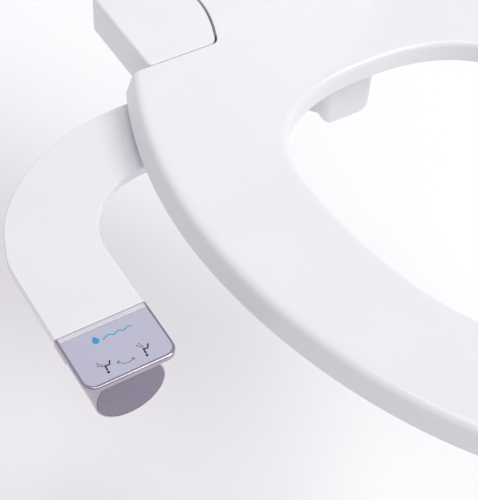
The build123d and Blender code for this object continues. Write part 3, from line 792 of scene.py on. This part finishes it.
brushed, brushed_tree, brushed_shader, brushed_place = bare_finish("mauve_brushed_disc")
brushed_shader.inputs["Metallic"].default_value = 0.45
brushed_shader.inputs["Specular IOR Level"].default_value = 0.35
brushed_centre = centred(brushed_tree, brushed_place, dial_centre)
brushed_marks = grouped(brushed_tree, turning, brushed_centre, Ring_Scale=420.0, Waver=6.0).outputs["Mark"]
toned(brushed_tree, brushed_shader, brushed_marks, (0.225, 0.202, 0.27), (0.27, 0.246, 0.32))
hazed(brushed_tree, brushed_shader, brushed_place, 45, 0.36, 0.5)
relief(brushed_tree, brushed_shader, brushed_marks, 0.006 * mm)
dress(disc, brushed, "dial", "dial_silver", "dial_face")


# ---------------------------------------------------------------------------------------------
# Valve: a brass body with its bonnet and stem, turned on a lathe, two lapped ceramic discs, and
# a white ABS cover snapped up round it under the end of the arm. Hidden but for the inlet thread.
# ---------------------------------------------------------------------------------------------
pod = merged_copy("valve_cover", "valve_cover_shell")
pod_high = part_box("valve_cover")[1]


def on_pod_rim(point):
    from_middle = math.hypot(point.x - dial_centre[0], min(point.z - dial_centre[2], 0))
    return point.y > pod_high.y - 0.05 * mm and from_middle > 20 * mm


round_edges(pod, 1.2 * mm, 5, on_pod_rim, 60)
dress(pod, arm_satin, "attachment", "arm_plastic", "valve_cover")

brass, brass_tree, brass_shader, brass_place = bare_finish("turned_brass")
brass_shader.inputs["Metallic"].default_value = 1
brass_centre = centred(brass_tree, brass_place, dial_centre)
brass_marks = grouped(brass_tree, turning, brass_centre, Ring_Scale=300.0).outputs["Mark"]
toned(brass_tree, brass_shader, brass_marks, (0.62, 0.44, 0.18), (0.74, 0.55, 0.25))
hazed(brass_tree, brass_shader, brass_place, 120, 0.2, 0.38)
relief(brass_tree, brass_shader, brass_marks, 0.01 * mm)
refinish(brass, "valve_bonnet", "valve_stem")

inlet_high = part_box("valve_body")[1]
valve = merged_copy("valve_body", "valve_body_turned")
round_edges(valve, 0.5 * mm, 3, lambda point: point.y > inlet_high.y - 0.05 * mm, 60)
dress(valve, brass, "attachment", "brass", "valve_body")

ceramic, ceramic_tree, ceramic_shader, ceramic_place = bare_finish("lapped_ceramic")
ceramic_centre = centred(ceramic_tree, ceramic_place, dial_centre)
ceramic_marks = grouped(ceramic_tree, turning, ceramic_centre, Ring_Scale=700.0).outputs["Mark"]
toned(ceramic_tree, ceramic_shader, ceramic_marks, (0.84, 0.82, 0.77), (0.88, 0.86, 0.82))
hazed(ceramic_tree, ceramic_shader, ceramic_place, 200, 0.08, 0.2)
refinish(ceramic, "disc_fixed", "disc_turning")


# ---------------------------------------------------------------------------------------------
# Splash guard and nozzles: a gloss white gate on a steel pin hangs in front of two slim nozzles
# with snap-on tips. The nozzles slide in the cassette, and steel springs pull them back.
# ---------------------------------------------------------------------------------------------
guard_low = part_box("nozzle_guard")[0]
gate = merged_copy("nozzle_guard", "splash_guard")
round_edges(gate, 0.9 * mm, 4, lambda point: point.y < guard_low.y + 11 * mm and point.z < 0, 50)
guard_gloss = moulded(
    "guard_gloss_plastic", (0.77, 0.77, 0.80), (0.80, 0.80, 0.825), (0.12, 0.22), 0.15, 0.015 * mm, 30
)
dress(gate, guard_gloss, "guard", "guard_plastic", "nozzle_guard")

nozzle_white = moulded(
    "nozzle_plastic", (0.72, 0.73, 0.76), (0.77, 0.78, 0.80), (0.16, 0.26), 0.2, 0.01 * mm, 60
)
for node in ("nozzle_rear", "nozzle_rear_tip", "nozzle_front", "nozzle_front_tip"):
    body = "rear_nozzle" if "rear" in node else "front_nozzle"
    dress(merged_copy(node, node + "_moulded"), nozzle_white, body, "nozzle_plastic", node, smooth=40)

brush, brush_in, brush_out = group_of(
    "brush",
    [
        ("Vector", "NodeSocketVector", None),
        ("Scale", "NodeSocketFloat", 900.0),
    ],
    [("Scratch", "NodeSocketFloat")],
)
brush_noise = brush.nodes.new("ShaderNodeTexNoise")
brush_noise.inputs["Detail"].default_value = 6
brush_noise.inputs["Roughness"].default_value = 0.7
brush.links.new(brush_in.outputs["Vector"], brush_noise.inputs["Vector"])
brush.links.new(brush_in.outputs["Scale"], brush_noise.inputs["Scale"])
brush.links.new(brush_noise.outputs["Fac"], brush_out.inputs["Scratch"])


def drawn_steel(name, along):
    """Stainless steel with its drawing lines stretched along an axis."""
    finish, tree, shader, place = bare_finish(name)
    shader.inputs["Metallic"].default_value = 1
    stretch = [1, 1, 1]
    stretch["XYZ".index(along)] = 30
    lines = grouped(tree, brush, centred(tree, place, (0, 0, 0), stretch), Scale=1400.0)
    toned(tree, shader, lines.outputs["Scratch"], (0.50, 0.50, 0.52), (0.70, 0.70, 0.71))
    hazed(tree, shader, place, 110, 0.22, 0.4)
    relief(tree, shader, lines.outputs["Scratch"], 0.008 * mm)
    return finish


steel_x = drawn_steel("steel_drawn_across", "X")
steel_z = drawn_steel("steel_drawn_upright", "Z")
refinish(steel_x, "guard_pin", "shaft_clip_left", "shaft_clip_right", "cover_screws")
refinish(steel_z, "inlet_filter")
for side in ("rear", "front"):
    coil = merged_copy("spring_" + side, "return_spring_" + side)
    dress(coil, steel_z, "attachment", "steel", "spring_" + side, smooth=60)
    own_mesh(coil)


# ---------------------------------------------------------------------------------------------
# Hinge hardware inside the housings: a grey glass-filled nylon foot, a drawn steel shaft held by
# a snap ring, and a black soft-close drum round it. The seat turns on plain nylon bushes.
# ---------------------------------------------------------------------------------------------
grey_textured = moulded(
    "grey_textured_plastic", (0.33, 0.34, 0.36), (0.39, 0.40, 0.42), (0.45, 0.6), 0.8, 0.05 * mm, 40
)
black_textured = moulded(
    "black_textured_plastic", (0.018, 0.018, 0.02), (0.03, 0.03, 0.034), (0.38, 0.55), 0.8, 0.04 * mm, 40
)
natural_nylon = moulded(
    "natural_nylon", (0.70, 0.68, 0.61), (0.77, 0.75, 0.69), (0.3, 0.45), 0.4, 0.02 * mm, 60
)


def off_the_bore(point):
    return math.hypot(point.y - hinge_y, point.z - hinge_z) > 6 * mm


for side in ("left", "right"):
    foot = merged_copy(f"hinge_foot_{side}", f"hinge_foot_{side}_moulded")
    round_edges(foot, 0.7 * mm, 3, lambda point: point.z > 9.9 * mm, 60)
    dress(foot, grey_textured, "attachment", "grey_plastic", f"hinge_foot_{side}")
    drum = merged_copy(f"damper_{side}", f"damper_{side}_drum")
    round_edges(drum, 0.5 * mm, 3, off_the_bore, 60)
    dress(drum, black_textured, "attachment", "black_plastic", f"damper_{side}")
refinish(steel_x, "hinge_shaft_left", "hinge_shaft_right")
refinish(natural_nylon, "seat_bush_left", "seat_bush_right")
refinish(black_textured, "check_valve")


# ---------------------------------------------------------------------------------------------
# Seat bolts: M8 stainless screws with rolled threads, flat washers under their heads, slotted
# grey discs that set their reach, soft cones and nylon wing nuts drawn up under the bowl.
# ---------------------------------------------------------------------------------------------
def moved_copy(piece, name, shift):
    """The same piece in another place, with its own mesh."""
    twin = piece.copy()
    twin.data = piece.data.copy()
    twin.name = name
    twin.data.name = name
    bpy.context.scene.collection.objects.link(twin)
    twin.data.transform(Matrix.Translation(shift))
    return twin


def joined(piece, *others):
    """Several closed shells as one piece."""
    only(piece)
    for other in others:
        other.select_set(True)
    bpy.ops.object.join()
    return piece


bolt_axis = (-bolt_x, 0, 0)
across = Vector((2 * bolt_x, 0, 0))
shank_outline = [
    (0, 11.2),
    (4.25, 11.2),
    (4.25, 1.6),
    (3.95, 0.9),
    (3.95, -2.5),
    (3.25, -3.6),
    (3.25, -64.6),
    (2.5, -65.9),
    (0, -65.9),
]
shank = turned("mount_bolt_left_threaded", shank_outline, bolt_axis, "Z", 40)
pitch, root_r, crest_r = 1.25 * mm, 3.2 * mm, 3.78 * mm
thread_rows = 48
bpy.ops.mesh.primitive_circle_add(vertices=4, radius=1, fill_type="NOTHING")
thread = bpy.context.object
thread_low_z = -64.3 * mm
for vertex, (radius, rise) in zip(
    thread.data.vertices, ((root_r, -0.5), (crest_r, -0.08), (crest_r, 0.08), (root_r, 0.5))
):
    vertex.co = (radius, 0, thread_low_z + rise * mm)
helix = thread.modifiers.new("helix", "SCREW")
helix.screw_offset = pitch
helix.iterations = thread_rows
helix.steps = 20
helix.render_steps = 20
helix.use_normal_calculate = True
only(thread)
bpy.ops.object.modifier_apply(modifier=helix.name)
bpy.ops.object.mode_set(mode="EDIT")
bpy.ops.mesh.select_all(action="SELECT")
bpy.ops.mesh.fill_holes(sides=4)
bpy.ops.mesh.normals_make_consistent(inside=False)
bpy.ops.object.mode_set(mode="OBJECT")
thread.data.transform(Matrix.Translation(bolt_axis))
bpy.ops.mesh.primitive_cylinder_add(vertices=6, radius=7 * mm, depth=4 * mm, location=(-bolt_x, 0, 13 * mm))
head = bpy.context.object
bpy.ops.object.transform_apply(location=True, rotation=True, scale=True)
round_edges(head, 0.5 * mm, 3, lambda point: True, 20)
joined(shank, thread, head)
washer_outline = [(4.45, 10.05), (4.45, 10.95), (8.6, 10.95), (8.95, 10.75), (8.95, 10.25), (8.6, 10.05)]
washer = turned("head_washer_left_rolled", washer_outline, bolt_axis, "Z", 64)
cone_outline = [
    (3.95, -46),
    (3.95, -36.05),
    (7.9, -36.05),
    (8.5, -36.5),
    (9.6, -39.0),
    (9.5, -39.5),
    (10.4, -41.2),
    (10.2, -41.8),
    (12.6, -45.2),
    (12.9, -45.7),
    (12.6, -46),
]
cone = turned("cone_washer_left_soft", cone_outline, bolt_axis, "Z", 64)
nut_outline = [
    (3.87, -58),
    (8.4, -58),
    (8.9, -57.6),
    (9.0, -57.0),
    (9.0, -47.6),
    (9.6, -47.0),
    (12.6, -47.0),
    (13.0, -46.7),
    (12.7, -46.05),
    (3.87, -46.05),
]
nut = turned("mount_nut_left_winged", nut_outline, bolt_axis, "Z", 64)
for side in (-1, 1):
    ends = sorted((-bolt_x + side * 6 * mm, -bolt_x + side * 21.9 * mm))
    wing = block("wing", (ends[0], -2.1 * mm, -57.9 * mm), (ends[1], 2.1 * mm, -48.1 * mm))
    round_edges(wing, 1.5 * mm, 4, lambda point: True, 60)
    combine(nut, wing, "UNION")
bore = bar("bore", 3.87 * mm, (-bolt_x, 0, -60 * mm), (-bolt_x, 0, -44 * mm))
combine(nut, bore, "DIFFERENCE")
soft_rubber = moulded(
    "soft_grey_rubber", (0.42, 0.42, 0.43), (0.48, 0.48, 0.49), (0.6, 0.78), 0.7, 0.05 * mm, 50
)
for piece, finish, slot in (
    (shank, steel_z, "steel"),
    (washer, steel_z, "steel"),
    (cone, soft_rubber, "rubber"),
    (nut, natural_nylon, "nylon"),
):
    node = piece.name.rsplit("_left", 1)[0]
    twin = moved_copy(piece, piece.name.replace("left", "right"), across)
    dress(piece, finish, "attachment", slot, node + "_left")
    dress(twin, finish, "attachment", slot, node + "_right")
for side in ("left", "right"):
    adjuster = merged_copy(f"adjuster_{side}", f"adjuster_{side}_disc")
    round_edges(adjuster, 0.5 * mm, 3, lambda point: point.z > 6.9 * mm, 60)
    dress(adjuster, grey_textured, "attachment", "grey_plastic", f"adjuster_{side}")
refinish(soft_rubber, "stem_seal")


# ---------------------------------------------------------------------------------------------
# Water tubes and seat bumpers: milky polyurethane tubes pushed on to the valve, and soft grey
# pads plugged into the seat's floor, with their lower edges rounded.
# ---------------------------------------------------------------------------------------------
milky, milky_tree, milky_shader, milky_place = bare_finish("milky_tube")
milky_shader.inputs["Transmission Weight"].default_value = 0.4
milky_shader.inputs["IOR"].default_value = 1.48
milky_tone = grouped(milky_tree, cloud, milky_place, Scale=80).outputs["Value"]
toned(milky_tree, milky_shader, milky_tone, (0.72, 0.78, 0.82), (0.80, 0.85, 0.88))
hazed(milky_tree, milky_shader, milky_place, 200, 0.2, 0.35)
refinish(milky, "tube_rear", "tube_front")

pads = merged_copy("seat_bumpers", "seat_bumper_pads")
round_edges(pads, 1.6 * mm, 5, lambda point: point.z < 0.05 * mm, 60)
dress(pads, soft_rubber, "seat", "rubber", "seat_bumpers")


# ---------------------------------------------------------------------------------------------
# Lid: one moulded shell, crowned on its outside and hollow inside, that hangs on a knuckle and a
# web between the seat's ears. It is shaped closed over the seat and then swung up to its rest.
# ---------------------------------------------------------------------------------------------
hinge_line = Vector((0, hinge_y, hinge_z))
lid_open = math.radians(104)
lid_rear_y, lid_overhang, lid_wall = 22 * mm, 2.0, 3 * mm
crown = (
    (2.0, 38.0),
    (1.9, 40.5),
    (1.2, 43.2),
    (-0.4, 45.4),
    (-3.0, 47.0),
    (-7.0, 48.2),
    (-14, 49.1),
    (-28, 49.8),
    (-50, 50.3),
    (-80, 50.7),
    (-120, 50.93),
    (-165, 51.0),
)


def lid_loop(grow, z):
    """The ring's outline grown a little, and cut straight at the lid's rear."""
    rear_y = lid_rear_y + (grow - lid_overhang) * mm
    return [(x, min(y, rear_y), height) for x, y, height in oval(grow, z)]


lid = lofted("lid_crowned", [lid_loop(grow, z) for grow, z in crown])
only(lid)
bpy.ops.object.mode_set(mode="EDIT")
bpy.ops.mesh.edge_face_add()
bpy.ops.mesh.select_all(action="SELECT")
bpy.ops.mesh.remove_doubles(threshold=0.002 * mm)
bpy.ops.mesh.normals_make_consistent(inside=False)
bpy.ops.object.mode_set(mode="OBJECT")
skin = lid.modifiers.new("skin", "SOLIDIFY")
skin.thickness = lid_wall
skin.offset = -1
skin.use_even_offset = True
only(lid)
bpy.ops.object.modifier_apply(modifier=skin.name)


def swung_up(piece):
    """Turn a piece drawn closed about the hinge line to the lid's rest."""
    swing = Matrix.Translation(hinge_line) @ Matrix.Rotation(-lid_open, 4, "X")
    piece.data.transform(swing @ Matrix.Translation(-hinge_line))


swung_up(lid)
dress(lid, white_gloss, "lid", "lid_plastic", "lid_shell")

web = merged_copy("lid_arm", "lid_knuckle")
round_edges(web, 0.9 * mm, 4, lambda point: True, 40)
dress(web, white_gloss, "lid", "lid_plastic", "lid_arm")

buttons = merged_copy("lid_bumpers", "lid_bumper_buttons")
lid_down = Matrix.Translation(hinge_line) @ Matrix.Rotation(lid_open, 4, "X")
lid_down = lid_down @ Matrix.Translation(-hinge_line)
round_edges(buttons, 1.5 * mm, 5, lambda point: (lid_down @ point).z < 34 * mm, 60)
dress(buttons, soft_rubber, "lid", "rubber", "lid_bumpers")


# ---------------------------------------------------------------------------------------------
# Studio: a camera in front of the control arm looking down across the left of the seat, a plain
# pale floor at the foot of a bowl's height, and large soft boxes over it under an even sky.
# ---------------------------------------------------------------------------------------------
floor_z = -0.40
aim = Vector((seat_low.x + 18.1 * mm, seat_low.y + 274.2 * mm, seat_high.z))
azimuth, drop, roll = 0.599, 0.854, 0.07
distance = 0.7966
ahead = Vector((math.cos(drop) * math.sin(azimuth), math.cos(drop) * math.cos(azimuth), -math.sin(drop)))
level = Vector((math.cos(azimuth), -math.sin(azimuth), 0))
upright = level.cross(ahead)
camera_right = level * math.cos(roll) + upright * math.sin(roll)
camera_up = upright * math.cos(roll) - level * math.sin(roll)
stand = aim - ahead * distance
bpy.ops.object.camera_add()
camera = bpy.context.object
camera.name = "studio_camera"
camera.data.sensor_width = 36
camera.data.lens = 90.6
facing = Matrix((camera_right, camera_up, -ahead)).transposed().to_4x4()
camera.matrix_world = Matrix.Translation(stand) @ facing
bpy.context.scene.camera = camera
bpy.context.scene.view_settings.view_transform = "Standard"

bpy.ops.mesh.primitive_plane_add(size=14, location=(0, 0, floor_z))
floor = bpy.context.object
floor.name = "floor"
floor_finish, floor_tree, floor_shader, floor_place = bare_finish("pale_floor")
floor_tone = grouped(floor_tree, cloud, floor_place, Scale=3).outputs["Value"]
toned(floor_tree, floor_shader, floor_tone, (0.95, 0.955, 0.945), (0.96, 0.965, 0.955))
floor_shader.inputs["Roughness"].default_value = 0.9
floor.data.materials.append(floor_finish)

sky = bpy.data.worlds.new("even_sky")
bpy.context.scene.world = sky
sky.use_nodes = True
sky_light = sky.node_tree.nodes["Background"].inputs
sky_light["Color"].default_value = (0.95, 0.90, 0.99, 1)
sky_light["Strength"].default_value = 0.66
for name, place, size, watts, tint in (
    ("key_box", (2.8, -2.6, 4.6), 2.6, 150, (0.98, 1.0, 0.95)),
    ("top_box", (0.6, -0.4, 5.5), 3.0, 60, (0.98, 1.0, 0.96)),
):
    bpy.ops.object.light_add(type="AREA", location=place)
    lamp = bpy.context.object
    lamp.name = name
    lamp.data.size = size
    lamp.data.energy = watts
    lamp.data.color = tint
    lamp.rotation_euler = (aim - Vector(place)).to_track_quat("-Z", "Y").to_euler()
